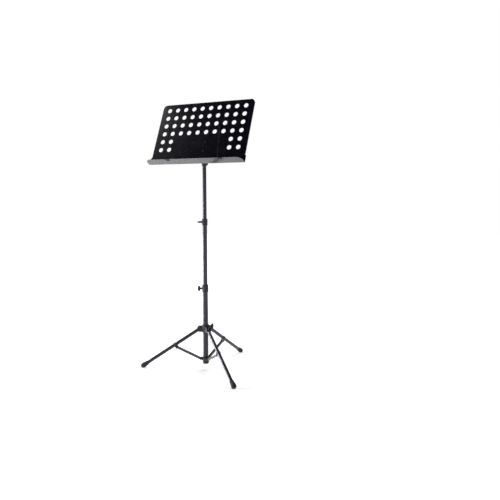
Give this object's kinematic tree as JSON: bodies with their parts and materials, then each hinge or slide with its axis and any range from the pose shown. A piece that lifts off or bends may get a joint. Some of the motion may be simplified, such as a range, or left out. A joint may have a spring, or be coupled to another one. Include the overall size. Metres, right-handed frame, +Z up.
{
  "type": "music stand",
  "caption": "Folding music stand: perforated sheet-metal desk with a ledge and page arms, on a telescoping pole with a folding tripod",
  "frame": {"origin": "on the floor, at the centre of the bounding box", "axes": "+Z up along the pole, -Y the way the desk faces, +X to the right of someone looking at the desk's front"},
  "size_m": [0.5529, 0.5184, 1.272],
  "materials": {
    "powder_coat": "satin black powder coat on sheet steel, fine orange peel",
    "tube_paint": "satin black paint on drawn steel tube",
    "moulded_plastic": "black moulded nylon, fine texture",
    "rubber": "matt black moulded rubber",
    "zinc_steel": "bright zinc plated steel",
    "blackened_steel": "black painted steel wire and rivets"
  },
  "bodies": {
    "lower_pole": {"lower_tube": "tube_paint", "base_cap": "moulded_plastic", "lower_clamp": "moulded_plastic"},
    "leg_hub": {"leg_hub": "moulded_plastic", "rear_leg_pin": "blackened_steel", "left_leg_pin": "blackened_steel", "front_leg_pin": "blackened_steel"},
    "hub_knob": {"hub_knob": "moulded_plastic", "hub_screw": "zinc_steel"},
    "rear_leg": {"rear_leg": "tube_paint", "rear_foot": "rubber", "rear_strut_bracket": "blackened_steel", "rear_strut_top_pin": "blackened_steel"},
    "left_leg": {"left_leg": "tube_paint", "left_foot": "rubber", "left_strut_bracket": "blackened_steel", "left_strut_top_pin": "blackened_steel"},
    "front_leg": {"front_leg": "tube_paint", "front_foot": "rubber", "front_strut_bracket": "blackened_steel", "front_strut_top_pin": "blackened_steel"},
    "rear_strut": {"rear_strut": "powder_coat", "rear_strut_bottom_pin": "blackened_steel"},
    "left_strut": {"left_strut": "powder_coat", "left_strut_bottom_pin": "blackened_steel"},
    "front_strut": {"front_strut": "powder_coat", "front_strut_bottom_pin": "blackened_steel"},
    "lower_clamp_knob": {"lower_clamp_knob": "moulded_plastic", "lower_clamp_screw": "zinc_steel"},
    "middle_pole": {"middle_tube": "tube_paint", "middle_tube_plug": "moulded_plastic", "upper_clamp": "moulded_plastic"},
    "upper_clamp_knob": {"upper_clamp_knob": "moulded_plastic", "upper_clamp_screw": "zinc_steel"},
    "top_pole": {"top_tube": "tube_paint", "top_tube_plug": "moulded_plastic"},
    "head": {"head_socket": "moulded_plastic"},
    "head_knob": {"head_knob": "moulded_plastic", "head_screw": "zinc_steel"},
    "desk": {"desk_bracket": "powder_coat", "desk_panel": "powder_coat", "music_tray": "powder_coat", "desk_rivet_1": "blackened_steel", "desk_rivet_2": "blackened_steel", "desk_rivet_3": "blackened_steel", "desk_rivet_4": "blackened_steel", "tilt_bolt": "zinc_steel", "tilt_washer": "zinc_steel"},
    "tilt_knob": {"tilt_knob": "moulded_plastic"},
    "left_page_arm": {"left_page_arm": "blackened_steel", "left_page_arm_tip": "rubber", "left_page_arm_cap": "moulded_plastic"},
    "right_page_arm": {"right_page_arm": "blackened_steel", "right_page_arm_tip": "rubber", "right_page_arm_cap": "moulded_plastic"}
  },
  "joints": [
    {"name": "hub_slide", "type": "slide", "parent": "lower_pole", "child": "leg_hub", "axis": [0, 0, 1], "range_m": [0, 0.1263]},
    {"name": "rear_leg_fold", "type": "hinge", "parent": "leg_hub", "child": "rear_leg", "pos_m": [0.02473, -0.02976, 0.196], "axis": [-0.9907, 0.1357, 0], "range_deg": [0, 53.27]},
    {"name": "rear_strut_fold", "type": "hinge", "parent": "rear_leg", "child": "rear_strut", "pos_m": [0.03998, 0.08159, 0.1041], "axis": [-0.9907, 0.1357, 0], "range_deg": [-118.59, 0]},
    {"name": "left_leg_fold", "type": "hinge", "parent": "leg_hub", "child": "left_leg", "pos_m": [-0.00559, -0.06885, 0.196], "axis": [0.3778, -0.9259, 0], "range_deg": [0, 53.27]},
    {"name": "left_strut_fold", "type": "hinge", "parent": "left_leg", "child": "left_strut", "pos_m": [-0.10965, -0.11132, 0.1041], "axis": [0.3778, -0.9259, 0], "range_deg": [-118.59, 0]},
    {"name": "front_leg_fold", "type": "hinge", "parent": "leg_hub", "child": "front_leg", "pos_m": [0.04343, -0.07557, 0.196], "axis": [0.6129, 0.7902, 0], "range_deg": [0, 53.27]},
    {"name": "front_strut_fold", "type": "hinge", "parent": "front_leg", "child": "front_strut", "pos_m": [0.13223, -0.14445, 0.1041], "axis": [0.6129, 0.7902, 0], "range_deg": [-118.59, 0]},
    {"name": "hub_knob_turn", "type": "hinge", "parent": "leg_hub", "child": "hub_knob", "pos_m": [0.02085, -0.05806, 0.20897], "axis": [0.9259, 0.3778, 0], "range_deg": [0, 450]},
    {"name": "lower_clamp_knob_turn", "type": "hinge", "parent": "lower_pole", "child": "lower_clamp_knob", "pos_m": [0.02085, -0.05806, 0.3935], "axis": [-0.8746, -0.4848, 0], "range_deg": [0, 450]},
    {"name": "middle_slide", "type": "slide", "parent": "lower_pole", "child": "middle_pole", "axis": [0, 0, -1], "range_m": [-0.02, 0.28]},
    {"name": "upper_clamp_knob_turn", "type": "hinge", "parent": "middle_pole", "child": "upper_clamp_knob", "pos_m": [0.02085, -0.05806, 0.7115], "axis": [-0.8746, -0.4848, 0], "range_deg": [0, 450]},
    {"name": "top_slide", "type": "slide", "parent": "middle_pole", "child": "top_pole", "axis": [0, 0, -1], "range_m": [-0.02, 0.24]},
    {"name": "head_swivel", "type": "hinge", "parent": "top_pole", "child": "head", "pos_m": [0.02085, -0.05806, 0.974], "axis": [0, 0, 1], "continuous": true},
    {"name": "head_knob_turn", "type": "hinge", "parent": "head", "child": "head_knob", "pos_m": [0.02085, -0.05806, 0.991], "axis": [0, 1, 0], "range_deg": [0, 450]},
    {"name": "desk_tilt", "type": "hinge", "parent": "head", "child": "desk", "pos_m": [0.02085, -0.05806, 1.038], "axis": [-1, 0, 0], "range_deg": [-23.7, 66.3]},
    {"name": "tilt_knob_turn", "type": "hinge", "parent": "desk", "child": "tilt_knob", "pos_m": [0.02085, -0.05806, 1.038], "axis": [1, 0, 0], "range_deg": [0, 450]},
    {"name": "left_page_arm_swing", "type": "hinge", "parent": "desk", "child": "left_page_arm", "pos_m": [-0.10014, -0.16884, 0.99525], "axis": [0, 0.4894, 0.8721], "range_deg": [0, 90]},
    {"name": "right_page_arm_swing", "type": "hinge", "parent": "desk", "child": "right_page_arm", "pos_m": [0.17186, -0.16884, 0.99525], "axis": [0, 0.4894, 0.8721], "range_deg": [0, 90]}
  ],
  "couplings": [
    {"joint": "rear_leg_fold", "follows": "hub_slide", "rad_per_m": 7.3598},
    {"joint": "rear_strut_fold", "follows": "hub_slide", "rad_per_m": -16.386},
    {"joint": "left_leg_fold", "follows": "hub_slide", "rad_per_m": 7.3598},
    {"joint": "left_strut_fold", "follows": "hub_slide", "rad_per_m": -16.386},
    {"joint": "front_leg_fold", "follows": "hub_slide", "rad_per_m": 7.3598},
    {"joint": "front_strut_fold", "follows": "hub_slide", "rad_per_m": -16.386}
  ]
}
